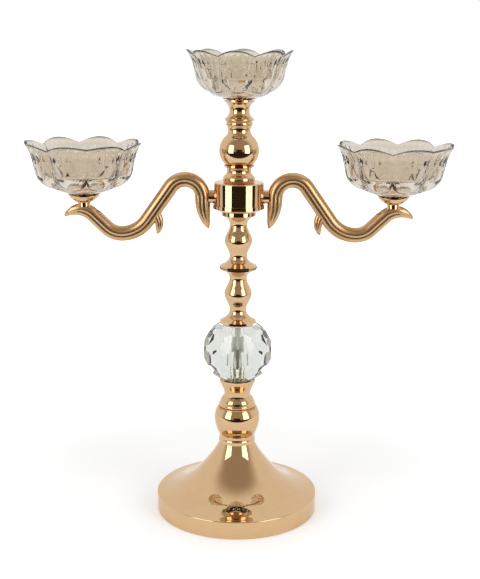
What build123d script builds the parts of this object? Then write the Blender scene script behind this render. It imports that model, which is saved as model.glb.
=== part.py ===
from build123d import *
import os
from dataclasses import dataclass
from math import cos, radians, sin

# Three-light candelabra, in millimetres. A spun base carries a turned column with a faceted
# crystal ball in it. A hub on the column holds two cast S-shaped arms, and three pressed-glass
# bowls stand on the arms' ends and on the column's head. One threaded rod clamps the column.
# The origin is the centre of the underside, +Z is up, and the arms reach along +X and -X.

# Clearances that several pieces share
press_gap = 0.05            # radial gap between pieces of one rigid body
turn_gap = 0.3              # radial gap where one piece turns about another
hidden_gap = 0.4            # gap between hidden pieces that don't carry each other

# Tie rod with its nut and washer
rod_r = 4.0
rod_washer_r = 9.0
rod_washer_t = 1.5
rod_nut_flats = 13.0
rod_nut_h = 6.0
rod_grip = 8.0              # length of rod that is screwed into the top cup

# Base: felt, iron weight and spun bell
felt_t = 1.5
base_r = 73.1
bell_wall = 1.2
rim_h = 16.2                # top edge of the upright rim wall
rim_lift = 0.5              # the metal rim ends this far above the table
rim_round = 0.8
apron_r, apron_z = 56.0, 20.9
cove_r, cove_z = 40.0, 31.5
flare_r, flare_z = 27.9, 45.0
throat_r, throat_z = 19.5, 56.6
bell_neck_r = 15.8
bell_ring_r = 16.5
bell_ring_h = 2.8
bell_h = 66.7
bell_web = 2.0
weight_t = 10.0
weight_boss_r = 40.0
weight_boss_h = 6.0

# Vase bulb, heights from its own foot
bulb_foot_r = 16.4
bulb_foot_waist_r = 15.9
bulb_foot_h = 5.4
bulb_low_r = 16.7
bulb_side_r, bulb_side_z = 19.2, 12.2
bulb_r, bulb_belly_z = 20.5, 19.6
bulb_shoulder_r, bulb_shoulder_z = 17.8, 29.8
bulb_step = 1.0
bulb_head_r = 16.5
bulb_head_edge_r = 15.6
bulb_h = 34.3

# Crystal cup, heights from its own foot
cup_foot_r = 15.4
cup_foot_round_r = 14.7
cup_foot_h = 6.6
cup_waist_r, cup_waist_z = 11.9, 9.4
cup_side_r, cup_side_z = 13.6, 14.6
cup_mouth_r = 16.1
cup_lip_h = 2.0
cup_h = 22.4

# Crystal ball with its sleeve and soft washers
ball_r = 30.0
ball_seat_r = 16.0          # radius of the flats on its top and foot
ball_bore_r = 5.6
facets_per_row = 12
facet_rows = (0.0, 27.0, 51.0)   # latitude of each row of facets, in degrees
sleeve_wall = 1.0
ball_pad_r = 14.0
ball_pad_t = 1.0

# Balusters: one turning used twice, heights from its flange end
baluster_h = 50.0
baluster_neck_r = 8.1
baluster_bead_r = 12.3
flange_r = 16.4
flange_t = 1.3
flange_neck_z = 12.2
bead_z = 23.6
collar_neck_z = 35.0
cap_r = 16.2                # collar of the lower baluster, which caps the crystal
cap_t = 1.8
collar_r = 15.2             # collar of the upper baluster, under the hub
collar_t = 3.8
baluster_washer_r = 16.7
baluster_washer_t = 0.6

# Arm hub and its two studs
hub_r = 21.9
hub_h = 25.2
hub_foot_r = 18.0
hub_foot_h = 2.4
hub_flange_r = 22.6
hub_flange_t = 3.0
hub_edge = 0.9
stud_level = 12.2           # height of the studs above the hub's foot
stud_r = 6.0
stud_seat = 1.4             # depth of the counterbore in the hub
stud_tenon_r = 3.5
stud_tenon = 8.0

# Top column, heights from its own foot
column_foot_r = 14.1
column_foot_edge_r = 13.2
column_foot_h = 5.4
column_neck_r = 10.6
column_neck_end_r = 11.8
column_neck_z = 13.4
column_ring_r = 13.2
column_ring_t = 1.4
knob_r = 17.4
knob_end_r = 11.7
knob_top_z = 40.0
head_neck_r = 9.8
head_neck_end_r = 10.4
head_neck_z = 47.8
head_ring_r = 11.4
column_h = 52.5

# Top cup, heights from its own foot
top_ring_r = 12.5
top_ring_edge_r = 11.4
top_ring_h = 2.7
top_waist_r = 8.5
top_mouth_r = 13.0
top_lip_h = 1.4
top_cup_h = 17.9

# Arms. Each is drawn as the right arm, from the hook at the hub out to the side bowl.
arm_reach = 134.8           # from the column's axis to the axis of each side bowl
arm_face_x = 26.2           # flat on the arm where the stud's shoulder seats
arm_h = 13.4                # height of the section
arm_depth = 12.2            # depth of the section, front to back
hook_x = 31.6               # centre line of the hook's upright part
crest_bend_r = 15.2
crest_rise = 14.8           # from the studs' level up to the centre line's crest
slope_angle = 55.0          # how steeply the arm falls, in degrees
trough_in_r = 27.5          # bend from the slope into the trough
trough_out_r = 18.5         # bend from the trough into the rise
rise_angle = 44.0           # how steeply it climbs again, in degrees
# Leaves that curl off the arm's ends and the bud under its slope
outer_leaf_back = 7.3       # from the outer leaf's root to the bowl's axis
outer_leaf_drop = 7.1       # from the flat under the dish down to the root's centre line
outer_leaf_bend_r = 16.5
outer_leaf_turn = 98.0
inner_leaf_bend_r = 74.0
inner_leaf_turn = 22.0
bud_h, bud_depth = 8.6, 8.0
bud_along = 27.8            # place of the bud's root along the slope
bud_below = 4.4             # and under its centre line
bud_heading = -119.0
bud_bend_r = 17.0
bud_turn = 58.0
leaf_tip = 0.8              # height and depth of a leaf's blunt tip
leaf_steps = 5              # straight-sided lengths that make up one leaf
scoop_r = 4.2               # hollow along the top of the outer leaf
scoop_level = 6.2           # from the leaf's centre line up to the hollow's
# Shape of the section, as shares of its half height and half depth
ridge_level = 0.10
ridge_foot_level, ridge_foot_depth = -0.12, 0.93
groove_level, groove_depth = -0.24, 0.77
# How a leaf tapers: it keeps its size at first and rounds to its tip
height_keep, depth_keep, taper_round = 2.2, 3.2, 0.75

# Side dishes, heights from the flat on the arm
arm_seat_z = 279.6
dish_neck_r = 5.4
dish_neck_h = 3.6
dish_side_r = 10.6
dish_r = 13.3
dish_lip_h = 1.2
dish_h = 10.6
dish_peg_r = 3.2
dish_peg = 4.5

# Screws, washers and pads that hold the bowls
screw_r = 2.0
screw_head_r = 4.2
screw_head_h = 2.8
screw_dome_r = 3.6          # radius of the domed head half way up
screw_bite = 9.0            # length of screw in the metal under the pad
bowl_washer_r = 8.0
bowl_washer_t = 1.2
bowl_pad_r = 11.0
bowl_pad_t = 1.0

# Glass bowls
petals = 8
glass_wall = 3.0
hollow_foot_r = 4.0         # where the floor inside a petal starts to climb, from the petal's own axis
hollow_set_in = 1.2         # how far the inside's lower corner lies in from the outside's belly
scallop_drop = 3.8          # the rim is this much lower between two petals
left_bowl_turn = -10.5      # how far each bowl is turned on its seat, in degrees
right_bowl_turn = 12.0
top_bowl_turn = -4.5


@dataclass
class BowlSizes:
    """Outside sizes of one bowl, measured over the middle of a petal, from the bowl's foot."""

    rim_r: float
    height: float
    lip_r: float            # where the flared lip starts
    lip_z: float
    belly_r: float          # where the petal starts to round in
    belly_z: float
    shoulder_r: float
    shoulder_z: float
    petal_r: float          # radius at which the petals' own axes stand
    petal_z: float          # underside of the petals
    dome_r: float           # widest part of the plain dome below them
    dome_z: float
    foot_side_r: float
    foot_side_z: float
    foot_r: float


side_bowl = BowlSizes(
    rim_r=52.4, height=44.8, lip_r=45.8, lip_z=31.2, belly_r=43.6, belly_z=19.0,
    shoulder_r=38.9, shoulder_z=11.1, petal_r=24.0, petal_z=4.9, dome_r=32.0, dome_z=11.5,
    foot_side_r=22.0, foot_side_z=2.6, foot_r=14.0,
)
top_bowl = BowlSizes(
    rim_r=46.2, height=40.9, lip_r=40.0, lip_z=29.6, belly_r=37.7, belly_z=19.2,
    shoulder_r=34.1, shoulder_z=11.1, petal_r=21.4, petal_z=4.9, dome_r=28.4, dome_z=11.0,
    foot_side_r=20.2, foot_side_z=2.2, foot_r=13.2,
)

# Heights that follow from the sizes above
rod_foot_z = felt_t + hidden_gap
nut_z = rod_foot_z + hidden_gap
rod_washer_z = nut_z + rod_nut_h
weight_roof_z = rod_washer_z + rod_washer_t
weight_r = base_r - bell_wall - hidden_gap
bulb_z = bell_h
cup_z = bulb_z + bulb_h
lower_pad_z = cup_z + cup_h
ball_flat = (ball_r**2 - ball_seat_r**2) ** 0.5
ball_z = lower_pad_z + ball_pad_t + ball_flat
upper_pad_z = ball_z + ball_flat
lower_baluster_z = upper_pad_z + ball_pad_t
baluster_washer_z = lower_baluster_z + baluster_h
upper_baluster_z = baluster_washer_z + baluster_washer_t
hub_z = upper_baluster_z + baluster_h
stud_z = hub_z + stud_level
stud_x = hub_r - stud_seat
column_z = hub_z + hub_h
top_cup_z = column_z + column_h
top_seat_z = top_cup_z + top_cup_h
rod_top_z = top_cup_z + rod_grip
side_seat_z = arm_seat_z + dish_h


class Outline:
    """Half outline of a turning in (radius, height), drawn from its foot to its head."""

    def __init__(self, radius, height=0.0):
        self.start = self.end = (radius, height)
        self.edges = []

    def line(self, radius, height):
        """Add a straight run to the new point."""
        return self.add(Line(self.end, (radius, height)), (radius, height))

    def curve(self, middle_r, radius, height):
        """Add an arc that passes the middle radius half way up to the new point."""
        middle = (middle_r, (self.end[1] + height) / 2)
        return self.add(ThreePointArc(self.end, middle, (radius, height)), (radius, height))

    def through(self, *points):
        """Add one smooth run through the points."""
        return self.add(Spline(self.end, *points), points[-1])

    def tangent(self, radius, height, way=None):
        """Add an arc that leaves in line with the last run, or the given way."""
        end = (radius, height)
        return self.add(TangentArc(self.end, end, tangent=way or self.edges[-1] % 1), end)

    def add(self, edge, end):
        """Keep an edge and move the pen to its end."""
        self.edges.append(edge)
        self.end = end
        return self

    def turned(self, bore_r=0.0):
        """Close the outline along the bore and revolve it about +Z."""
        head, foot = (bore_r, self.end[1]), (bore_r, self.start[1])
        closing = [Line(a, b) for a, b in ((self.end, head), (head, foot), (foot, self.start)) if a != b]
        return revolve(Plane.XZ * make_face(self.edges + closing), Axis.Z)


def rod(radius, length, z=0.0):
    """Round bar that stands on the given height."""
    return Pos(0, 0, z) * Cylinder(radius, length, align=(Align.CENTER, Align.CENTER, Align.MIN))


def ring(outer_r, inner_r, height, z=0.0):
    """Plain ring that stands on the given height."""
    return rod(outer_r, height, z) - rod(inner_r, height, z)


def sideways(radius, start_x, end_x):
    """Round bar along +X at the height of the studs."""
    return Pos(start_x, 0, stud_z) * Rot(0, 90, 0) * rod(radius, end_x - start_x)


def base_felt():
    """Felt disc that the whole object rests on."""
    return rod(weight_r, felt_t)


def base_weight():
    """Iron disc in the base, with a boss, a pocket for the nut and a bore for the rod."""
    disc = rod(weight_r, weight_t, felt_t) + rod(weight_boss_r, weight_boss_h, felt_t + weight_t)
    pocket = rod(rod_washer_r + hidden_gap, weight_roof_z - felt_t, felt_t)
    bore = rod(rod_r + hidden_gap, bell_h, felt_t)
    return disc - pocket - bore


def rod_washer():
    """Steel washer between the nut and the iron weight."""
    return ring(rod_washer_r, rod_r + press_gap, rod_washer_t, rod_washer_z)


def rod_nut():
    """Hexagon nut on the lower end of the rod."""
    hexagon = RegularPolygon(rod_nut_flats / 2, 6, major_radius=False)
    return Pos(0, 0, nut_z) * extrude(hexagon, rod_nut_h) - rod(rod_r + press_gap, rod_nut_h, nut_z)


def tie_rod():
    """Threaded rod through the whole column, drawn at its outer diameter."""
    return rod(rod_r, rod_top_z - rod_foot_z, rod_foot_z)


def bell_skin(inset):
    """Outline of the bell from the rim's foot to its neck, moved in and down by the inset."""
    skin = Outline(base_r - inset, rim_lift).line(base_r - inset, rim_h - inset)
    stations = [(apron_r, apron_z), (cove_r, cove_z), (flare_r, flare_z), (throat_r, throat_z)]
    stations.append((bell_neck_r, bell_h - bell_ring_h))
    return skin.through(*[(r - inset, z - inset) for r, z in stations])


def base_bell():
    """Spun base: an upright rim, a coned apron and a trumpet that ends in a ring."""
    solid = bell_skin(0).line(bell_ring_r, bell_h - bell_ring_h).line(bell_ring_r, bell_h).turned(rod_r + hidden_gap)
    rim_edge = solid.edges().filter_by(GeomType.CIRCLE).sort_by(lambda e: (e.radius, e.center().Z))[-1]
    solid = fillet(rim_edge, rim_round)
    hollow = bell_skin(bell_wall).line(bell_neck_r - bell_wall, bell_h - bell_web).turned()
    return solid - hollow


def vase_bulb():
    """Turned urn with a coved foot, a stepped shoulder and a rounded ring at its head."""
    outline = Outline(bulb_foot_r).curve(bulb_foot_waist_r, bulb_foot_r, bulb_foot_h)
    outline.line(bulb_low_r, bulb_foot_h)
    outline.through((bulb_side_r, bulb_side_z), (bulb_r, bulb_belly_z), (bulb_shoulder_r, bulb_shoulder_z))
    outline.line(bulb_shoulder_r - bulb_step, bulb_shoulder_z)
    outline.line(bulb_shoulder_r - bulb_step, bulb_shoulder_z + bulb_step)
    outline.line(bulb_head_edge_r, bulb_shoulder_z + bulb_step)
    outline.curve(bulb_head_r, bulb_head_edge_r, bulb_h)
    return Pos(0, 0, bulb_z) * outline.turned(rod_r + hidden_gap)


def crystal_cup():
    """Spool under the ball: a rounded foot, a waist and a flared mouth with a lip."""
    outline = Outline(cup_foot_r).curve(cup_foot_round_r, cup_waist_r, cup_foot_h)
    outline.through((cup_waist_r, cup_waist_z), (cup_side_r, cup_side_z), (cup_mouth_r, cup_h - cup_lip_h))
    outline.line(cup_mouth_r, cup_h)
    return Pos(0, 0, cup_z) * outline.turned(rod_r + hidden_gap)


def cut_facet(ball, turn, latitude):
    """Grind one flat that touches the ball's sphere at the given turn and latitude."""
    across = cos(radians(latitude))
    outward = Vector(across * cos(radians(turn)), across * sin(radians(turn)), sin(radians(latitude)))
    return split(ball, Plane(outward * ball_r, z_dir=outward), keep=Keep.BOTTOM)


def crystal_ball():
    """Clear ball cut with rows of flat facets and bored for the sleeve."""
    ball = Box(2 * ball_r, 2 * ball_r, 2 * ball_flat)
    for row, latitude in enumerate(facet_rows):
        for side in ((1, -1) if row else (1,)):
            for place in range(facets_per_row):
                turn = 360 / facets_per_row * (place + row / 2)
                ball = cut_facet(ball, turn, side * latitude)
    return Pos(0, 0, ball_z) * (ball - rod(ball_bore_r, 2 * ball_flat, -ball_flat))


def crystal_sleeve():
    """Steel tube round the rod, as long as the ball and its two washers."""
    outer_r = ball_bore_r - press_gap
    return ring(outer_r, outer_r - sleeve_wall, lower_baluster_z - lower_pad_z, lower_pad_z)


def ball_pad(z):
    """Clear soft washer between metal and crystal."""
    return ring(ball_pad_r, ball_bore_r, ball_pad_t, z)


def baluster(end_r, end_t):
    """Turning with a thin flange at its foot, two necks round a bead, and a collar at its head."""
    outline = Outline(flange_r).line(flange_r, flange_t)
    outline.through(
        (baluster_neck_r, flange_neck_z), (baluster_bead_r, bead_z),
        (baluster_neck_r, collar_neck_z), (end_r, baluster_h - end_t),
    )
    return outline.line(end_r, baluster_h).turned(rod_r + hidden_gap)


def lower_baluster():
    """Baluster turned upside down, so that its collar caps the crystal."""
    return Pos(0, 0, baluster_washer_z) * Rot(180, 0, 0) * baluster(cap_r, cap_t)


def baluster_washer():
    """Thin dark washer between the two balusters."""
    return ring(baluster_washer_r, rod_r + hidden_gap, baluster_washer_t, baluster_washer_z)


def upper_baluster():
    """Baluster whose collar carries the arm hub."""
    return Pos(0, 0, upper_baluster_z) * baluster(collar_r, collar_t)


def arm_hub():
    """Drum with a flange at its foot and a counterbored hole on each side for a stud."""
    flange_top = hub_foot_h + hub_flange_t
    outline = Outline(hub_foot_r).line(hub_flange_r, hub_foot_h).line(hub_flange_r, flange_top)
    outline.line(hub_r, flange_top).line(hub_r, hub_h - hub_edge).line(hub_r - hub_edge, hub_h)
    hub = Pos(0, 0, hub_z) * outline.turned(rod_r + turn_gap)
    hole = sideways(stud_r + press_gap, stud_x, 2 * hub_r)
    hole += sideways(stud_tenon_r + press_gap, stud_x - stud_tenon, 2 * hub_r)
    return hub - hole - mirror(hole, Plane.YZ)


def right_stud():
    """Round bar between hub and arm, with a thinner tenon at each end."""
    tenons = sideways(stud_tenon_r, stud_x - stud_tenon, arm_face_x + stud_tenon)
    return sideways(stud_r, stud_x, arm_face_x) + tenons


def top_column():
    """Column above the hub: a ringed foot, a ball knob and a ringed neck."""
    outline = Outline(column_foot_edge_r).curve(column_foot_r, column_foot_edge_r, column_foot_h)
    outline.curve(column_neck_r, column_neck_end_r, column_neck_z)
    outline.line(column_ring_r, column_neck_z).line(column_ring_r, column_neck_z + column_ring_t)
    outline.line(column_neck_end_r, column_neck_z + column_ring_t)
    outline.curve(knob_r, knob_end_r, knob_top_z)
    outline.curve(head_neck_r, head_neck_end_r, head_neck_z)
    outline.curve(head_ring_r, head_neck_end_r, column_h)
    return Pos(0, 0, column_z) * outline.turned(rod_r + hidden_gap)


def top_cup():
    """Cup under the top bowl, tapped for the rod below and for the bowl's screw above."""
    outline = Outline(top_ring_edge_r).curve(top_ring_r, top_ring_edge_r, top_ring_h)
    outline.curve(top_waist_r, top_mouth_r, top_cup_h - top_lip_h).line(top_mouth_r, top_cup_h)
    rod_hole = rod(rod_r + press_gap, rod_grip + hidden_gap)
    screw_hole = rod(screw_r + press_gap, top_cup_h)
    return Pos(0, 0, top_cup_z) * (outline.turned() - rod_hole - screw_hole)


def arm_section(height, depth):
    """Section with a round back, a ridge on each side, a groove under it and a narrower belly."""
    up, out = height / 2, depth / 2
    ridge = (out, up * ridge_level)
    ridge_foot = (out * ridge_foot_depth, up * ridge_foot_level)
    groove = (out * groove_depth, up * groove_level)
    far_ridge, far_foot, far_groove = ((-x, y) for x, y in (ridge, ridge_foot, groove))
    return make_face([
        ThreePointArc(far_ridge, (0, up), ridge),
        Line(ridge, ridge_foot),
        Line(ridge_foot, groove),
        ThreePointArc(groove, (0, -up), far_groove),
        Line(far_groove, far_foot),
        Line(far_foot, far_ridge),
    ])


class ArmPen:
    """Draws the arm in the XZ plane: it holds a point of the centre line and the heading there.

    The section's round back lies on the left of the heading, or with back -1 on its right.
    """

    def __init__(self, x, z, heading, back=1):
        self.point = Vector(x, 0, z)
        self.heading = heading
        self.back = back

    def plane(self):
        """Plane of the section here, with its own Y towards the round back."""
        along = (cos(radians(self.heading)), 0, sin(radians(self.heading)))
        return Plane(self.point, x_dir=(0, self.back, 0), z_dir=along)

    def straight(self, length):
        """Carry the section straight on."""
        run = extrude(self.plane() * arm_section(arm_h, arm_depth), length)
        self.point += self.plane().z_dir * length
        return run

    def hinge(self, bend_r, turn):
        """Axis of a bend, upwards for a positive turn and downwards for a negative one."""
        side = 1 if turn > 0 else -1
        left = Vector(-sin(radians(self.heading)), 0, cos(radians(self.heading)))
        return Axis(self.point + left * bend_r * side, (0, -side, 0))

    def bend(self, bend_r, turn):
        """Carry the section round a bend of so many degrees."""
        axis = self.hinge(bend_r, turn)
        run = revolve(self.plane() * arm_section(arm_h, arm_depth), axis, abs(turn))
        self.turn(axis, turn)
        return run

    def turn(self, axis, turn):
        """Move the pen along a bend."""
        self.point = Vertex(self.point).rotate(axis, abs(turn)).center()
        self.heading += turn

    def leaf(self, bend_r, turn, height=arm_h, depth=arm_depth):
        """Taper the section to a blunt tip along a bend."""
        axis = self.hinge(bend_r, turn)
        sections = [self.plane() * arm_section(height, depth)]
        for step in range(1, leaf_steps + 1):
            self.turn(axis, turn / leaf_steps)
            along = step / leaf_steps
            high, deep = leaf_size(height, along, height_keep), leaf_size(depth, along, depth_keep)
            sections.append(self.plane() * arm_section(high, deep))
        return loft(sections)


def leaf_size(root, along, keep):
    """Size of a leaf's section at a share of its length."""
    return leaf_tip + (root - leaf_tip) * (1 - along**keep) ** taper_round


def slope_start():
    """Point of the centre line where the crest's bend ends and the slope starts."""
    slope = radians(slope_angle)
    x = hook_x + crest_bend_r * (1 + sin(slope))
    return x, stud_z + crest_rise - crest_bend_r * (1 - cos(slope))


def straight_runs():
    """Lengths of slope and rise that bring the outer leaf's root under the dish."""
    slope, rise = radians(slope_angle), radians(rise_angle)
    x, z = slope_start()
    across = arm_reach - outer_leaf_back - x - trough_in_r * sin(slope) - trough_out_r * sin(rise)
    bends_z = trough_out_r * (1 - cos(rise)) - trough_in_r * (1 - cos(slope))
    up = arm_seat_z - outer_leaf_drop - z - bends_z
    spread = sin(slope + rise)
    return (across * sin(rise) - up * cos(rise)) / spread, (across * sin(slope) + up * cos(slope)) / spread


def arm_casting():
    """S-shaped arm: hook, crest, slope, trough and rise, with a leaf curling off each end."""
    slope_run, rise_run = straight_runs()
    hook_z = stud_z + crest_rise - crest_bend_r
    pen = ArmPen(hook_x, hook_z, 90)
    casting = pen.bend(crest_bend_r, -90 - slope_angle)
    casting += pen.straight(slope_run)
    casting += pen.bend(trough_in_r, slope_angle)
    casting += pen.bend(trough_out_r, rise_angle)
    casting += pen.straight(rise_run)
    scoop = leaf_scoop(pen)
    casting += pen.leaf(outer_leaf_bend_r, -outer_leaf_turn)
    casting += ArmPen(hook_x, hook_z, -90, back=-1).leaf(inner_leaf_bend_r, -inner_leaf_turn)
    return casting + arm_bud() - scoop


def leaf_scoop(pen):
    """Hollow that runs along the top of the outer leaf and fades out before its tip."""
    start = pen.plane() * Pos(0, scoop_level)
    bar = revolve(start * Circle(scoop_r), pen.hinge(outer_leaf_bend_r, -1), outer_leaf_turn)
    return bar + start * Sphere(scoop_r)


def arm_bud():
    """Small curled leaf that grows from the underside of the slope."""
    slope = radians(slope_angle)
    x, z = slope_start()
    x += bud_along * cos(slope) - bud_below * sin(slope)
    z -= bud_along * sin(slope) + bud_below * cos(slope)
    return ArmPen(x, z, bud_heading).leaf(bud_bend_r, bud_turn, bud_h, bud_depth)


def right_arm():
    """Arm casting with its bud, and a flat and a hole each for the stud and for the dish."""
    stud_flat = sideways(stud_r + hidden_gap, stud_x, arm_face_x)
    stud_hole = sideways(stud_tenon_r + press_gap, stud_x, arm_face_x + stud_tenon)
    dish_flat = rod(dish_neck_r + hidden_gap, dish_h, arm_seat_z)
    dish_hole = rod(dish_peg_r + press_gap, dish_h, arm_seat_z - dish_peg)
    return arm_casting() - stud_flat - stud_hole - Pos(arm_reach, 0, 0) * (dish_flat + dish_hole)


def right_dish():
    """Saucer with a short neck and a peg, tapped for the bowl's screw."""
    outline = Outline(dish_neck_r).line(dish_neck_r, dish_neck_h)
    outline.curve(dish_side_r, dish_r, dish_h - dish_lip_h).line(dish_r, dish_h)
    dish = outline.turned() + rod(dish_peg_r, dish_peg, -dish_peg)
    return Pos(arm_reach, 0, arm_seat_z) * (dish - rod(screw_r + press_gap, screw_bite, dish_h - screw_bite))


def petal_block(bowl):
    """Bulging outside of one petal, turned about the petal's own upright axis."""
    outline = Outline(0, bowl.petal_z)
    outline.tangent(bowl.shoulder_r - bowl.petal_r, bowl.shoulder_z, way=(1, 0))
    outline.tangent(bowl.belly_r - bowl.petal_r, bowl.belly_z).line(bowl.lip_r - bowl.petal_r, bowl.lip_z)
    outline.tangent(bowl.rim_r - bowl.petal_r, bowl.height)
    return Pos(bowl.petal_r, 0, 0) * outline.turned()


def petal_hollow(bowl):
    """Inside of one petal: a sloping floor and two steep straight walls."""
    inset = bowl.petal_r + glass_wall
    outline = Outline(hollow_foot_r, bowl.petal_z + glass_wall)
    outline.line(bowl.belly_r - inset - hollow_set_in, bowl.belly_z - hollow_set_in)
    outline.line(bowl.lip_r - inset, bowl.lip_z).line(bowl.rim_r - inset, bowl.height)
    return Pos(bowl.petal_r, 0, 0) * outline.line(bowl.rim_r - inset, bowl.height + glass_wall).turned()


def wedge(bowl):
    """Slice of space that one petal fills, taller than the bowl."""
    half = radians(180 / petals)
    x, y = 2 * bowl.rim_r * cos(half), 2 * bowl.rim_r * sin(half)
    return extrude(make_face(Polyline((0, 0), (x, -y), (x, y), (0, 0))), 2 * bowl.height)


def dome_block(bowl):
    """Plain dome under the petals, filled up to the rim."""
    outline = Outline(bowl.foot_r).line(bowl.foot_side_r, bowl.foot_side_z)
    return outline.tangent(bowl.dome_r, bowl.dome_z).line(bowl.dome_r, bowl.height + glass_wall).turned()


def dome_hollow(bowl):
    """Inside of the dome: a flat floor and two sloping walls."""
    outline = Outline(bowl.foot_r, glass_wall).line(bowl.foot_side_r - glass_wall / 2, bowl.foot_side_z + glass_wall)
    outline.line(bowl.dome_r - glass_wall, bowl.dome_z + glass_wall)
    return outline.line(bowl.dome_r - glass_wall, bowl.height + glass_wall).turned()


def bowl_block(bowl, petal, dome):
    """Petals round the dome as one block."""
    petal &= wedge(bowl)
    for place in range(petals):
        dome += Rot(0, 0, 360 / petals * place) * petal
    return dome


def scalloped_limit(bowl):
    """Space under the scalloped rim: one arched roof over each petal."""
    half_chord = bowl.rim_r * sin(radians(180 / petals))
    arch_r = (half_chord**2 + scallop_drop**2) / (2 * scallop_drop)
    arch = Pos(0, 0, bowl.height - arch_r) * Rot(0, 90, 0) * rod(arch_r, 2 * bowl.rim_r)
    roof = wedge(bowl) & arch
    limit = roof
    for place in range(1, petals):
        limit += Rot(0, 0, 360 / petals * place) * roof
    return limit


def glass_bowl(bowl):
    """Pressed-glass bowl with petals, a scalloped flared rim and a hole for its screw."""
    outside = bowl_block(bowl, petal_block(bowl), dome_block(bowl))
    inside = bowl_block(bowl, petal_hollow(bowl), dome_hollow(bowl))
    glass = (outside - inside) & scalloped_limit(bowl)
    return glass - rod(screw_r + turn_gap, 2 * glass_wall)


def bowl_pad():
    """Clear soft ring under the glass."""
    return ring(bowl_pad_r, screw_r + turn_gap, bowl_pad_t)


def bowl_washer():
    """Brass washer on the floor of the bowl."""
    return ring(bowl_washer_r, screw_r + press_gap, bowl_washer_t, bowl_pad_t + glass_wall)


def bowl_screw():
    """Domed screw that holds the bowl down on its seat."""
    head_z = bowl_pad_t + glass_wall + bowl_washer_t
    head = Outline(screw_head_r, head_z).curve(screw_dome_r, screw_r, head_z + screw_head_h)
    return head.turned() + rod(screw_r, head_z + screw_bite - press_gap, press_gap - screw_bite)


def main():
    """Write every piece to its own file."""
    os.makedirs("parts", exist_ok=True)
    pieces = {
        "base_felt": base_felt(),
        "base_weight": base_weight(),
        "base_bell": base_bell(),
        "rod_nut": rod_nut(),
        "rod_washer": rod_washer(),
        "tie_rod": tie_rod(),
        "vase_bulb": vase_bulb(),
        "crystal_cup": crystal_cup(),
        "lower_ball_pad": ball_pad(lower_pad_z),
        "crystal_ball": crystal_ball(),
        "crystal_sleeve": crystal_sleeve(),
        "upper_ball_pad": ball_pad(upper_pad_z),
        "lower_baluster": lower_baluster(),
        "baluster_washer": baluster_washer(),
        "upper_baluster": upper_baluster(),
        "arm_hub": arm_hub(),
        "top_column": top_column(),
        "top_cup": top_cup(),
    }
    for name, piece in (("stud", right_stud()), ("arm", right_arm()), ("dish", right_dish())):
        pieces["right_" + name] = piece
        pieces["left_" + name] = mirror(piece, Plane.YZ)
    side_glass = glass_bowl(side_bowl)
    seats = {
        "left": (-arm_reach, side_seat_z, left_bowl_turn, side_glass),
        "right": (arm_reach, side_seat_z, right_bowl_turn, side_glass),
        "top": (0, top_seat_z, top_bowl_turn, glass_bowl(top_bowl)),
    }
    for name, (x, z, turn, glass) in seats.items():
        seat = Pos(x, 0, z)
        pieces[name + "_bowl_pad"] = seat * bowl_pad()
        pieces[name + "_bowl"] = seat * Pos(0, 0, bowl_pad_t) * Rot(0, 0, turn) * glass
        pieces[name + "_bowl_washer"] = seat * bowl_washer()
        pieces[name + "_bowl_screw"] = seat * bowl_screw()
    for name, piece in pieces.items():
        export_step(piece, f"parts/{name}.step")


main()
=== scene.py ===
"""Looks of a three-light candelabra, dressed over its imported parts.

The turned pieces get mirror-polished gold plate, the castings satin gold plate, the bowls pressed
glass with a light champagne tint, and the ball ground crystal. Lengths are in metres, and in
millimetres where a name ends in mm.
"""

import logging
import math
from dataclasses import dataclass
from enum import Enum

import bpy
from mathutils import Matrix, Vector
from mathutils.bvhtree import BVHTree


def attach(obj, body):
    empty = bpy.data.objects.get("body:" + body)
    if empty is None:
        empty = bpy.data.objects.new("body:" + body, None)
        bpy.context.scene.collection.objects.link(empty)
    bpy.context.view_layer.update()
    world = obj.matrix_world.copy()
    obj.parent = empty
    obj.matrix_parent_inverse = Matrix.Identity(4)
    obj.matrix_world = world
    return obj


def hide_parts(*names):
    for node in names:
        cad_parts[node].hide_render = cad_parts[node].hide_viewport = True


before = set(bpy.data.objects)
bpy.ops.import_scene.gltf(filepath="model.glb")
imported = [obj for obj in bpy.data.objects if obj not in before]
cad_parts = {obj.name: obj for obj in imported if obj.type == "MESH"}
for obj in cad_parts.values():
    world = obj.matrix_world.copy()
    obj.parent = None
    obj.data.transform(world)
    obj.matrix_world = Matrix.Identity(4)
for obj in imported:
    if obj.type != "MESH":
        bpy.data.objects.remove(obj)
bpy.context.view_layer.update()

log = logging.getLogger("candelabra")

Socket = bpy.types.NodeSocket
Tree = bpy.types.NodeTree
Material = bpy.types.Material
Colour = tuple[float, float, float, float]

MM = 0.001
UP = Vector((0, 0, 1))
WHITE: Colour = (1.0, 1.0, 1.0, 1.0)
# Petals of each bowl, the painted shade band under its lip, and the lip's dip between two petals
PETALS = 8
PAINTED_RIM_SHADE_MM = (2.6, 0.7)
RIM_DIP_MM = 2.2
# Clouds in the gold plate: their size, and the part of the noise that turns into roughness
CLOUD_MM = 14.0
CLOUD_RANGE = (0.3, 0.7)
# Corners closer together than this are welded
WELD_MM = 0.002


class Shading(Enum):
    """Angle in degrees up to which a piece is shaded smooth."""

    TURNED = 40.0
    CAST = 48.0
    PRESSED = 60.0


def linear(hex_colour: str) -> Colour:
    """Turn an sRGB hex colour to linear light.

    Args:
        hex_colour: six hex digits, with or without a leading hash.

    Returns:
        Linear red, green, blue and an alpha of 1.
    """
    digits = hex_colour.lstrip("#")
    channels = [int(digits[at:at + 2], 16) / 255 for at in (0, 2, 4)]
    curve = [c / 12.92 if c <= 0.04045 else ((c + 0.055) / 1.055) ** 2.4 for c in channels]
    return (curve[0], curve[1], curve[2], 1.0)


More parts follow.
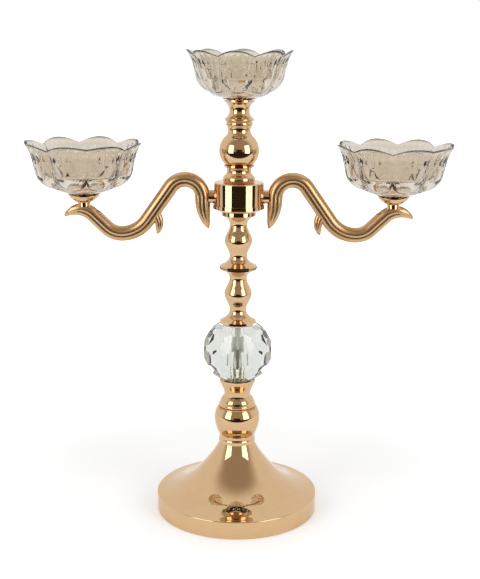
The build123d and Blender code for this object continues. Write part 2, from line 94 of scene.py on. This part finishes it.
def add_node(tree: Tree, kind: str, inputs: dict | None = None, **settings: object) -> bpy.types.Node:
    """Add a node with its settings and inputs.

    Args:
        tree: the node tree that gets the node.
        kind: the node's type, without the leading ShaderNode.
        inputs: input socket to its value, or to the output socket that feeds it.
        settings: the node's own properties.

    Returns:
        The new node.
    """
    node = tree.nodes.new("ShaderNode" + kind)
    for name, value in settings.items():
        setattr(node, name, value)
    for name, value in (inputs or {}).items():
        if isinstance(value, Socket):
            tree.links.new(value, node.inputs[name])
        else:
            node.inputs[name].default_value = value
    return node


def calc(tree: Tree, operation: str, *operands: float | Socket) -> Socket:
    """Work out a number on the surface from other numbers.

    Args:
        tree: the node tree.
        operation: what the Math node does.
        operands: numbers, or output sockets that give them.

    Returns:
        The socket with the result.
    """
    return add_node(tree, "Math", dict(enumerate(operands)), operation=operation).outputs[0]


def fade(tree: Tree, value: Socket, ends: tuple[float, float]) -> Socket:
    """Ease from 0 to 1 while a value goes from one end to the other.

    Args:
        tree: the node tree.
        value: the socket with the value.
        ends: the value that gives 0 and the value that gives 1.

    Returns:
        The socket with the eased number.
    """
    inputs = {"Value": value, "From Min": ends[0], "From Max": ends[1]}
    return add_node(tree, "MapRange", inputs, interpolation_type="SMOOTHSTEP").outputs[0]


def blend(tree: Tree, share: Socket, start: Colour | Socket, end: Colour | Socket) -> Socket:
    """Mix two colours.

    Args:
        tree: the node tree.
        share: the second colour's share.
        start: the first colour.
        end: the second colour.

    Returns:
        The socket with the mixed colour.
    """
    return add_node(tree, "Mix", {0: share, 6: start, 7: end}, data_type="RGBA").outputs[2]


def noise(tree: Tree, place: Socket, size_mm: float, detail: float) -> Socket:
    """Add a cloudy noise.

    Args:
        tree: the node tree.
        place: the socket with the place on the piece.
        size_mm: size of a cloud.
        detail: how many finer layers lie over the clouds.

    Returns:
        The socket with the noise.
    """
    return add_node(tree, "TexNoise", {"Scale": 1 / (size_mm * MM), "Detail": detail,
                                       "Vector": place}).outputs["Fac"]


def bump(tree: Tree, height: Socket, strength: float, depth_mm: float) -> Socket:
    """Turn a height into a tilt of the surface.

    Args:
        tree: the node tree.
        height: the socket with the height.
        strength: how strong the tilt is.
        depth_mm: depth that a height of 1 stands for.

    Returns:
        The socket with the tilted normal.
    """
    return add_node(tree, "Bump", {"Strength": strength, "Distance": depth_mm * MM,
                                   "Height": height}).outputs[0]


def object_place(tree: Tree) -> Socket:
    """Add the place on the piece, in the piece's own space.

    Args:
        tree: the node tree.

    Returns:
        The socket with the place.
    """
    return add_node(tree, "TexCoord").outputs["Object"]


def new_tree(name: str) -> tuple[Material, Tree]:
    """Make an empty node material.

    Args:
        name: the material's name.

    Returns:
        The material and its node tree.
    """
    material = bpy.data.materials.new(name)
    material.use_nodes = True
    material.node_tree.nodes.clear()
    return material, material.node_tree


def close_tree(tree: Tree, surface: Socket) -> None:
    """Link the surface shader to the material's output.

    Args:
        tree: the material's node tree.
        surface: the shader socket that gives the surface.
    """
    add_node(tree, "OutputMaterial", {"Surface": surface})


@dataclass(frozen=True)
class BowlPlace:
    """Where one glass bowl stands, how tall it is, and how far it was turned when it was set down."""

    x: float
    foot_z: float
    height: float
    turn_deg: float


@dataclass(frozen=True)
class PlatedMetal:
    """Gold-plated brass: polished it mirrors the room, cast and brushed it glows softly."""

    name: str
    colour: str
    worn_colour: str
    roughness: float
    rough_spread: float
    grain_mm: float
    grain_depth_mm: float

    def material(self) -> Material:
        """Build the plated metal, with a faint cloudiness in the plate and fine grain.

        Returns:
            The material.
        """
        material, tree = new_tree(self.name)
        place = object_place(tree)
        clouds = noise(tree, place, CLOUD_MM, 3.0)
        grain = noise(tree, place, self.grain_mm, 2.0)
        low, high = max(self.roughness - self.rough_spread, 0.0), self.roughness + self.rough_spread
        rough = add_node(tree, "MapRange", {"Value": clouds, "From Min": CLOUD_RANGE[0],
                                            "From Max": CLOUD_RANGE[1], "To Min": low, "To Max": high})
        shader = add_node(tree, "BsdfPrincipled", {
            "Base Color": blend(tree, clouds, linear(self.colour), linear(self.worn_colour)),
            "Metallic": 1.0, "Roughness": rough.outputs[0],
            "Normal": bump(tree, grain, 0.5, self.grain_depth_mm)})
        close_tree(tree, shader.outputs[0])
        return material


@dataclass(frozen=True)
class ClearBody:
    """Clear body that light passes: ground crystal or soft plastic."""

    name: str
    colour: str
    ior: float
    roughness: float
    ripple_mm: float
    ripple_depth_mm: float

    def material(self) -> Material:
        """Build the clear body, with the slow waves that grinding or moulding leaves.

        Returns:
            The material.
        """
        material, tree = new_tree(self.name)
        waves = noise(tree, object_place(tree), self.ripple_mm, 1.0)
        shader = add_node(tree, "BsdfPrincipled", {
            "Base Color": linear(self.colour), "Transmission Weight": 1.0, "IOR": self.ior,
            "Roughness": self.roughness, "Normal": bump(tree, waves, 0.6, self.ripple_depth_mm)})
        close_tree(tree, shader.outputs[0])
        return material


@dataclass(frozen=True)
class PressedGlass:
    """Pressed bowl glass: clear, slightly wavy, with painted shade in a band under the rim where the eye
    looks along the glass.
    """

    name: str
    colour: str
    painted_rim_shade_colour: str
    ior: float
    ripple_mm: float
    ripple_depth_mm: float

    def material(self, place: BowlPlace) -> Material:
        """Build the glass of one bowl.

        Args:
            place: where the bowl stands.

        Returns:
            The material.
        """
        material, tree = new_tree(self.name)
        spot = object_place(tree)
        seat = add_node(tree, "Mapping", {"Vector": spot, "Location": (place.x, 0.0, place.foot_z),
                                          "Rotation": (0.0, 0.0, math.radians(place.turn_deg))},
                        vector_type="TEXTURE").outputs[0]
        waves = noise(tree, spot, self.ripple_mm, 1.0)
        way = add_node(tree, "SeparateXYZ", {0: seat}).outputs
        angle = calc(tree, "MULTIPLY", calc(tree, "ARCTAN2", way["Y"], way["X"]), PETALS / 2)
        arch = calc(tree, "ABSOLUTE", calc(tree, "COSINE", angle))
        lip = calc(tree, "MULTIPLY_ADD", arch, RIM_DIP_MM * MM, place.height - RIM_DIP_MM * MM)
        under = calc(tree, "SUBTRACT", lip, way["Z"])
        # Painted shade: the base colour darkens in a band under the lip, standing in for the dark line
        # seen along the glass edge
        painted_rim_shade = fade(tree, under, (PAINTED_RIM_SHADE_MM[0] * MM, PAINTED_RIM_SHADE_MM[1] * MM))
        shader = add_node(tree, "BsdfPrincipled", {
            "Base Color": blend(tree, painted_rim_shade, linear(self.colour), linear(self.painted_rim_shade_colour)),
            "Transmission Weight": 1.0, "IOR": self.ior, "Roughness": 0.0,
            "Normal": bump(tree, waves, 0.6, self.ripple_depth_mm)})
        close_tree(tree, shader.outputs[0])
        return material


@dataclass(frozen=True)
class PlainBody:
    """Opaque everyday material with grain in its colour and its surface."""

    name: str
    colour: str
    dark_colour: str
    roughness: float
    metallic: float
    grain_mm: float
    grain_depth_mm: float

    def material(self) -> Material:
        """Build the material from one grain that drives colour and bump.

        Returns:
            The material.
        """
        material, tree = new_tree(self.name)
        grain = noise(tree, object_place(tree), self.grain_mm, 4.0)
        shader = add_node(tree, "BsdfPrincipled", {
            "Base Color": blend(tree, grain, linear(self.dark_colour), linear(self.colour)),
            "Roughness": self.roughness, "Metallic": self.metallic,
            "Normal": bump(tree, grain, 0.7, self.grain_depth_mm)})
        close_tree(tree, shader.outputs[0])
        return material


# Brass turned and buffed to a mirror, then plated: sharp reflections, warm in the middle tones
POLISHED_GOLD = PlatedMetal("polished_gold_plate", "#DCBA91", "#D2AE83", 0.045, 0.015, 2.0, 0.0006)
# Sand-cast arms, tumbled and plated: a silky glow that blurs the room
SATIN_GOLD = PlatedMetal("satin_gold_plate", "#D5B187", "#C8A174", 0.29, 0.04, 0.8, 0.004)
# Small brass fasteners, machine polished
FASTENER_BRASS = PlatedMetal("polished_fastener", "#DDB98C", "#CFA876", 0.12, 0.03, 0.6, 0.002)
# Soda glass pressed in a mould, with a light champagne tint and a painted shade band at the edge
PRESSED_GLASS = PressedGlass("pressed_champagne_glass", "#E6DCCD", "#8A8A7A", 1.52, 9.0, 0.01)
# Lead-free crystal, ground and polished flat
CRYSTAL = ClearBody("ground_crystal", "#E8EBE5", 1.545, 0.0, 12.0, 0.001)
# Soft clear vinyl washers
CLEAR_VINYL = ClearBody("clear_vinyl", "#EFEDE8", 1.46, 0.12, 3.0, 0.01)
# Tube round the rod, seen through the crystal
SLEEVE_STEEL = PlainBody("satin_sleeve_steel", "#E9E7E1", "#D9D7D1", 0.42, 1.0, 1.2, 0.002)
# Hidden hardware and the base's underside
ZINC_STEEL = PlainBody("zinc_plated_steel", "#B9B9B6", "#9D9D9B", 0.28, 1.0, 1.2, 0.002)
CAST_IRON = PlainBody("painted_cast_iron", "#2E2E30", "#19191A", 0.65, 0.0, 1.5, 0.08)
BLACK_FELT = PlainBody("black_felt", "#2A2827", "#121111", 0.95, 0.0, 0.7, 0.12)
DARK_FIBRE = PlainBody("dark_fibre_washer", "#2B221C", "#15100D", 0.55, 0.0, 0.8, 0.01)
# The three bowls, by the side of the stand that they are on
BOWLS = {
    "left": BowlPlace(-0.1348, 0.2912, 0.0448, -10.5),
    "right": BowlPlace(0.1348, 0.2912, 0.0448, 12.0),
    "top": BowlPlace(0.0, 0.37335, 0.0409, -4.5),
}


def select_only(piece: bpy.types.Object) -> None:
    """Make one object the only selected one, and the active one.

    Args:
        piece: the object to select.
    """
    bpy.ops.object.select_all(action="DESELECT")
    piece.select_set(True)
    bpy.context.view_layer.objects.active = piece


def new_object(name: str, data: bpy.types.ID) -> bpy.types.Object:
    """Put a new object into the scene, at the origin.

    Args:
        name: the object's name.
        data: its mesh, lamp or camera.

    Returns:
        The object.
    """
    thing = bpy.data.objects.new(name, data)
    bpy.context.scene.collection.objects.link(thing)
    return thing


def copy_node(node: str, name: str, shading: Shading) -> bpy.types.Object:
    """Copy a CAD node, weld its loose triangles and shade it smooth up to its real edges.

    Args:
        node: the node that is copied.
        name: the new piece's name.
        shading: how the piece is shaded.

    Returns:
        The new piece, at the origin.
    """
    piece = new_object(name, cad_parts[node].data.copy())
    select_only(piece)
    if piece.data.has_custom_normals:
        bpy.ops.mesh.customdata_custom_splitnormals_clear()
    bpy.ops.object.mode_set(mode="EDIT")
    bpy.ops.mesh.select_all(action="SELECT")
    bpy.ops.mesh.remove_doubles(threshold=WELD_MM * MM)
    bpy.ops.object.mode_set(mode="OBJECT")
    bpy.ops.object.shade_smooth_by_angle(angle=math.radians(shading.value))
    return piece


def dress(piece: bpy.types.Object, material: Material) -> None:
    """Give a piece one material all over.

    Args:
        piece: the object.
        material: its material.
    """
    piece.data.materials.clear()
    piece.data.materials.append(material)
    for polygon in piece.data.polygons:
        polygon.material_index = 0


def stand_in(piece: bpy.types.Object, node: str, body: str) -> None:
    """Let a finished piece ride on a body in its node's stead.

    Args:
        piece: the finished piece.
        node: the CAD node that it stands for.
        body: the body that it rides on.
    """
    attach(piece, body)
    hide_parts(node)
    log.info("%s rides on %s", piece.name, body)


def ease(value: float, ends: tuple[float, float]) -> float:
    """Ease from 0 to 1 while a value goes from one end to the other.

    Args:
        value: the value.
        ends: the value that gives 0 and the value that gives 1.

    Returns:
        The eased number.
    """
    share = min(max((value - ends[0]) / (ends[1] - ends[0]), 0.0), 1.0)
    return share * share * (3 - 2 * share)


@dataclass
class SubAssembly:
    """Group of pieces that share a body: each piece is a smooth copy of its CAD node."""

    body: str
    slot: str
    material: Material
    nodes: tuple[str, ...]
    shading: Shading = Shading.TURNED

    def build(self) -> None:
        """Copy, dress and place every piece of the group."""
        for node in self.nodes:
            piece = copy_node(node, node + "_finish", self.shading)
            dress(piece, self.material)
            stand_in(piece, node, self.body)


@dataclass
class KeptNodes:
    """CAD nodes that stay as they are and only get a better material."""

    material: Material
    nodes: tuple[str, ...]

    def build(self) -> None:
        """Dress every node of the group."""
        for node in self.nodes:
            dress(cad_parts[node], self.material)
            log.info("%s keeps its own mesh", node)


@dataclass(frozen=True)
class PressedPattern:
    """Relief of the mould: flutes under the lip, almonds on the belly, lines round each petal's end.

    Levels are shares of the bowl's height. Fades are the values that give none and all of it.
    """

    flutes: int = 6
    almonds: int = 3
    depth_mm: float = 0.3
    seam_fade: tuple[float, float] = (-0.95, -0.45)
    flute_foot_fade: tuple[float, float] = (0.60, 0.68)
    flute_head_fade: tuple[float, float] = (0.95, 0.88)
    almond_level: float = 0.44
    almond_reach: float = 0.15
    oval_level: float = 0.30
    oval_reach: float = 0.22
    oval_inner_fade: tuple[float, float] = (0.45, 0.6)
    oval_outer_fade: tuple[float, float] = (1.1, 0.95)
    oval_head_fade: tuple[float, float] = (0.34, 0.26)
    line_rate: float = 26.0
    line_depth: float = 0.6

    def height(self, turn: float, level: float) -> float:
        """Work out the height of the pattern.

        Args:
            turn: angle from the middle of the first petal.
            level: share of the bowl's height.

        Returns:
            The height in metres.
        """
        inside = ease(math.cos(turn * PETALS), self.seam_fade)
        band = ease(level, self.flute_foot_fade) * ease(level, self.flute_head_fade)
        flutes = math.cos(turn * PETALS * self.flutes) * band
        off = (level - self.almond_level) / self.almond_reach
        almonds = max(math.cos(turn * PETALS * self.almonds) - off ** 2, 0.0)
        below = (level - self.oval_level) / self.oval_reach
        oval = math.sin(turn * PETALS / 2) ** 2 + below ** 2
        ring = ease(oval, self.oval_inner_fade) * ease(oval, self.oval_outer_fade)
        lines = math.cos(self.line_rate * oval) * ring * ease(level, self.oval_head_fade)
        return ((flutes + almonds) * inside + lines * self.line_depth) * self.depth_mm * MM


@dataclass
class PetalBowl:
    """Pressed bowl: a fine net laid over the solid bowl, with the mould's pattern on its outside."""

    side: str
    place: BowlPlace
    pattern: PressedPattern = PressedPattern()
    columns_per_flute: int = 6
    edge_mm: float = 0.35
    belly_share: float = 0.26
    belly_rings: int = 20
    wall_rings: int = 44
    focus_share: float = 0.5
    inner_wall_rings: int = 22
    floor_rings: int = 42
    reach: float = 0.08
    lip_scan: tuple[float, float] = (0.032, 0.056)
    lip_steps: int = 59
    retries: int = 8
    dip_fade: tuple[float, float] = (0.55, 1.0)

    def build(self, material: Material) -> None:
        """Lay the net, dress it and let it ride in the bowl's stead.

        Args:
            material: the bowl's glass.
        """
        node = self.side + "_bowl"
        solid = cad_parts[node].data
        surface = BVHTree.FromPolygons([corner.co for corner in solid.vertices],
                                       [polygon.vertices for polygon in solid.polygons])
        count = PETALS * self.pattern.flutes * self.columns_per_flute
        columns = [self.column(surface, 2 * math.pi * at / count) for at in range(count)]
        rings = len(columns[0])
        corners = [corner for column in columns for corner in column]
        quads = [(at * rings + ring, (at + 1) % count * rings + ring,
                  (at + 1) % count * rings + (ring + 1) % rings, at * rings + (ring + 1) % rings)
                 for at in range(count) for ring in range(rings)]
        mesh = bpy.data.meshes.new(node + "_finish")
        mesh.from_pydata(corners, [], quads)
        piece = new_object(node + "_finish", mesh)
        select_only(piece)
        bpy.ops.object.shade_smooth_by_angle(angle=math.radians(Shading.PRESSED.value))
        dress(piece, material)
        stand_in(piece, node, self.side + "_glass")

    def column(self, surface: BVHTree, turn: float) -> list[Vector]:
        """Follow one section of the bowl: up its outside, over the lip, down its inside to the hole.

        Args:
            surface: the solid bowl's surface.
            turn: angle from the middle of the first petal.

        Returns:
            The section's points, which close on themselves.
        """
        heading = turn + math.radians(self.place.turn_deg)
        out = Vector((math.cos(heading), math.sin(heading), 0))
        foot = Vector((self.place.x, 0, self.place.foot_z))
        edge = self.edge_mm * MM
        tall = self.lip_height(surface, foot, out)
        belly, focus = self.belly_share * tall, self.focus_share * tall
        levels = [edge + (belly - edge) * step / self.belly_rings for step in range(self.belly_rings)]
        levels += [belly + (tall - belly - edge) * step / self.wall_rings
                   for step in range(self.wall_rings + 1)]
        hole_r = (self.hit(surface, foot + UP * MM, out) - foot - UP * MM).length
        outside = []
        for level in levels:
            wall = self.hit(surface, foot + UP * level + out * self.reach, -out)
            outside.append(wall + out * self.pattern.height(turn, level / self.place.height))
        drop = (tall - edge - focus) / self.inner_wall_rings
        inside = [self.hit(surface, foot + UP * (tall - edge - drop * step), out)
                  for step in range(self.inner_wall_rings)]
        lip = (outside[-1] + inside[0]) / 2 + UP * edge
        floor = self.hit(surface, foot + UP * focus + out * (hole_r + edge), -UP)
        steepest = math.atan2(focus - (floor.z - self.place.foot_z), hole_r + edge)
        for step in range(self.floor_rings + 1):
            dip = steepest * step / self.floor_rings
            inside.append(self.hit(surface, foot + UP * focus, out * math.cos(dip) - UP * math.sin(dip)))
        hole = foot + out * hole_r
        foot_edge = Vector((outside[0].x, outside[0].y, self.place.foot_z))
        hole_top = Vector((hole.x, hole.y, inside[-1].z - edge))
        return [self.dipped(point, turn) for point in [hole, foot_edge, *outside, lip, *inside, hole_top]]

    def dipped(self, point: Vector, turn: float) -> Vector:
        """Lower the upper wall towards the line between two petals, so that each petal's lip arches.

        Args:
            point: a point of the section.
            turn: angle from the middle of the first petal.

        Returns:
            The lowered point.
        """
        between = 1 - abs(math.cos(turn * PETALS / 2))
        share = ease((point.z - self.place.foot_z) / self.place.height, self.dip_fade)
        return point - UP * RIM_DIP_MM * MM * between * share

    def lip_height(self, surface: BVHTree, foot: Vector, out: Vector) -> float:
        """Find how high the scalloped lip stands over the foot in one section.

        Args:
            surface: the solid bowl's surface.
            foot: the middle of the foot.
            out: the section's direction.

        Returns:
            The height.
        """
        near, far = self.lip_scan
        starts = [foot + out * (near + (far - near) * step / self.lip_steps) + UP * self.reach
                  for step in range(self.lip_steps + 1)]
        places = [surface.ray_cast(start, -UP)[0] for start in starts]
        return max(place.z for place in places if place is not None) - self.place.foot_z

    def hit(self, surface: BVHTree, start: Vector, way: Vector) -> Vector:
        """Find where a ray first meets the solid bowl, a little lower if it just passes the lip.

        Args:
            surface: the solid bowl's surface.
            start: where the ray starts.
            way: the ray's direction.

        Returns:
            The point that it meets.
        """
        for step in range(self.retries):
            place = surface.ray_cast(start - UP * self.edge_mm * MM * step, way)[0]
            if place is not None:
                return place
        raise ValueError(f"a ray from {start} passes the {self.side} bowl")


@dataclass
class Studio:
    """White table, white surroundings, a dim room behind the camera and two tall softboxes.

    Fades are the values that give none and all of it.
    """

    focal_px: float = 1086.0
    frame_height_px: float = 579.0
    sensor_mm: float = 36.0
    camera_distance: float = 0.939
    camera_height: float = 0.4299
    camera_side: float = 0.0017
    camera_tilt_deg: float = 13.42
    camera_roll_deg: float = 0.47
    near_clip: float = 0.01
    softbox_distance: float = 1.15
    softbox_turn_deg: float = 48.0
    softbox_width: float = 0.62
    softbox_height: float = 0.95
    softbox_level: float = 0.55
    softbox_radiance: float = 2.7
    daylight: float = 0.7
    wall_tone: Colour = (0.94, 0.94, 0.94, 1)
    room_tone: Colour = (0.42, 0.365, 0.31, 1)
    dark_tone: Colour = (0.03, 0.024, 0.02, 1)
    front_fade: tuple[float, float] = (0.05, -0.45)
    dark_side_fade: tuple[float, float] = (0.34, 0.24)
    dark_head_fade: tuple[float, float] = (0.22, 0.12)
    glass_contrast: float = 0.22
    table_half: float = 4.0
    table_tone: Colour = (0.93, 0.93, 0.93, 1)
    # Painted reflection: a dark emission that glossy rays see on the table near the camera
    table_painted_reflection_tone: Colour = (0.03, 0.022, 0.018, 1)
    table_glow: tuple[float, float] = (0.2, 0.9)
    table_glow_fade: tuple[float, float] = (0.16, 0.7)
    table_painted_reflection_fade: tuple[float, float] = (-0.30, -0.42)

    def build(self) -> None:
        """Set up the camera, the lamps, the surroundings and the table."""
        self.add_camera()
        for side in (-1, 1):
            self.add_softbox(side)
        self.add_surroundings()
        self.add_table()
        bpy.context.scene.view_settings.view_transform = "Standard"

    def add_camera(self) -> None:
        """Place the camera in front, a little above the bowls, looking slightly down."""
        data = bpy.data.cameras.new("camera")
        data.sensor_fit = "VERTICAL"
        data.sensor_height = self.sensor_mm
        data.lens = self.focal_px / self.frame_height_px * self.sensor_mm
        data.clip_start = self.near_clip
        camera = new_object("camera", data)
        tilt = Matrix.Rotation(math.radians(90 - self.camera_tilt_deg), 4, "X")
        roll = Matrix.Rotation(math.radians(self.camera_roll_deg), 4, "Z")
        place = Matrix.Translation((self.camera_side, -self.camera_distance, self.camera_height))
        camera.matrix_world = place @ tilt @ roll
        bpy.context.scene.camera = camera

    def add_softbox(self, side: int) -> None:
        """Stand a tall softbox on one side of the camera, facing the column.

        Args:
            side: -1 for the left one, 1 for the right one.
        """
        data = bpy.data.lights.new(f"softbox_{side}", "AREA")
        data.shape = "RECTANGLE"
        data.size, data.size_y = self.softbox_width, self.softbox_height
        data.energy = self.softbox_radiance * math.pi * self.softbox_width * self.softbox_height
        lamp = new_object(f"softbox_{side}", data)
        lamp.matrix_world = (Matrix.Rotation(math.radians(self.softbox_turn_deg * side), 4, "Z")
                             @ Matrix.Translation((0, -self.softbox_distance, self.softbox_level))
                             @ Matrix.Rotation(math.radians(90), 4, "X"))

    def add_surroundings(self) -> None:
        """Make the world white to the eye, with a dim room on the camera's side in reflections."""
        world = bpy.data.worlds.new("surroundings")
        bpy.context.scene.world = world
        world.use_nodes = True
        tree = world.node_tree
        tree.nodes.clear()
        path = add_node(tree, "LightPath").outputs
        way = add_node(tree, "SeparateXYZ", {0: add_node(tree, "TexCoord").outputs["Generated"]}).outputs
        front = fade(tree, way["Y"], self.front_fade)
        room = blend(tree, front, self.wall_tone, self.room_tone)
        middle = fade(tree, calc(tree, "ABSOLUTE", way["X"]), self.dark_side_fade)
        low = calc(tree, "MULTIPLY", middle, fade(tree, way["Z"], self.dark_head_fade))
        seen = blend(tree, calc(tree, "MULTIPLY", low, front), room, self.dark_tone)
        through = calc(tree, "MULTIPLY", path["Is Transmission Ray"], self.glass_contrast)
        mirrored = calc(tree, "MAXIMUM", path["Is Glossy Ray"], through)
        light = blend(tree, mirrored, (self.daylight, self.daylight, self.daylight, 1), seen)
        colour = blend(tree, path["Is Camera Ray"], light, WHITE)
        back = add_node(tree, "Background", {"Color": colour, "Strength": 1.0}).outputs[0]
        add_node(tree, "OutputWorld", {"Surface": back})

    def add_table(self) -> None:
        """Lay a white table that keeps the object's shadow and shows glossy rays a painted dark
        reflection near the camera.
        """
        bpy.ops.object.select_all(action="DESELECT")
        bpy.ops.mesh.primitive_plane_add(size=2 * self.table_half, location=(0, 0, 0))
        table = bpy.context.active_object
        table.name = "table"
        material, tree = new_tree("white_table")
        path = add_node(tree, "LightPath").outputs
        place = object_place(tree)
        distance = add_node(tree, "VectorMath", {0: place}, operation="LENGTH").outputs["Value"]
        far = calc(tree, "MULTIPLY", fade(tree, distance, self.table_glow_fade), path["Is Camera Ray"])
        strength = add_node(tree, "MapRange", {"Value": far, "To Min": self.table_glow[0],
                                               "To Max": self.table_glow[1]}).outputs[0]
        glow = add_node(tree, "Emission", {"Color": WHITE, "Strength": strength}).outputs[0]
        matt = add_node(tree, "BsdfDiffuse", {"Color": self.table_tone}).outputs[0]
        lit = add_node(tree, "AddShader", {0: matt, 1: glow}).outputs[0]
        # Painted reflection: glossy rays near the camera see a dark emission instead of the white table
        painted_reflection = add_node(tree, "Emission", {"Color": self.table_painted_reflection_tone, "Strength": 1.0}).outputs[0]
        near = fade(tree, add_node(tree, "SeparateXYZ", {0: place}).outputs["Y"], self.table_painted_reflection_fade)
        painted_reflection_share = calc(tree, "MULTIPLY", near, path["Is Glossy Ray"])
        close_tree(tree, add_node(tree, "MixShader", {0: painted_reflection_share, 1: lit, 2: painted_reflection}).outputs[0])
        table.data.materials.append(material)


def main() -> None:
    """Build every sub-assembly and the studio, in order from the table upward."""
    logging.basicConfig(level=logging.INFO, format="%(name)s: %(message)s")
    polished, satin = POLISHED_GOLD.material(), SATIN_GOLD.material()
    crystal, vinyl = CRYSTAL.material(), CLEAR_VINYL.material()
    fastener, steel = FASTENER_BRASS.material(), ZINC_STEEL.material()
    SubAssembly("stand", "polished_metal", polished,
                ("base_bell", "vase_bulb", "crystal_cup", "lower_baluster", "upper_baluster",
                 "top_column", "top_cup")).build()
    SubAssembly("arm_pair", "polished_metal", polished,
                ("arm_hub", "left_stud", "right_stud", "left_dish", "right_dish")).build()
    SubAssembly("arm_pair", "cast_metal", satin, ("left_arm", "right_arm"), Shading.CAST).build()
    for side, place in BOWLS.items():
        PetalBowl(side, place).build(PRESSED_GLASS.material(place))
        body = "stand" if side == "top" else "arm_pair"
        SubAssembly(body, "fastener", fastener, (side + "_bowl_washer", side + "_bowl_screw")).build()
    KeptNodes(crystal, ("crystal_ball",)).build()
    KeptNodes(vinyl, ("lower_ball_pad", "upper_ball_pad", "left_bowl_pad", "right_bowl_pad",
                      "top_bowl_pad")).build()
    SubAssembly("stand", "steel", SLEEVE_STEEL.material(), ("crystal_sleeve",)).build()
    SubAssembly("stand", "steel", steel, ("rod_washer", "tie_rod")).build()
    KeptNodes(steel, ("rod_nut",)).build()
    KeptNodes(CAST_IRON.material(), ("base_weight",)).build()
    KeptNodes(BLACK_FELT.material(), ("base_felt",)).build()
    KeptNodes(DARK_FIBRE.material(), ("baluster_washer",)).build()
    Studio().build()


if __name__ == "__main__":
    main()
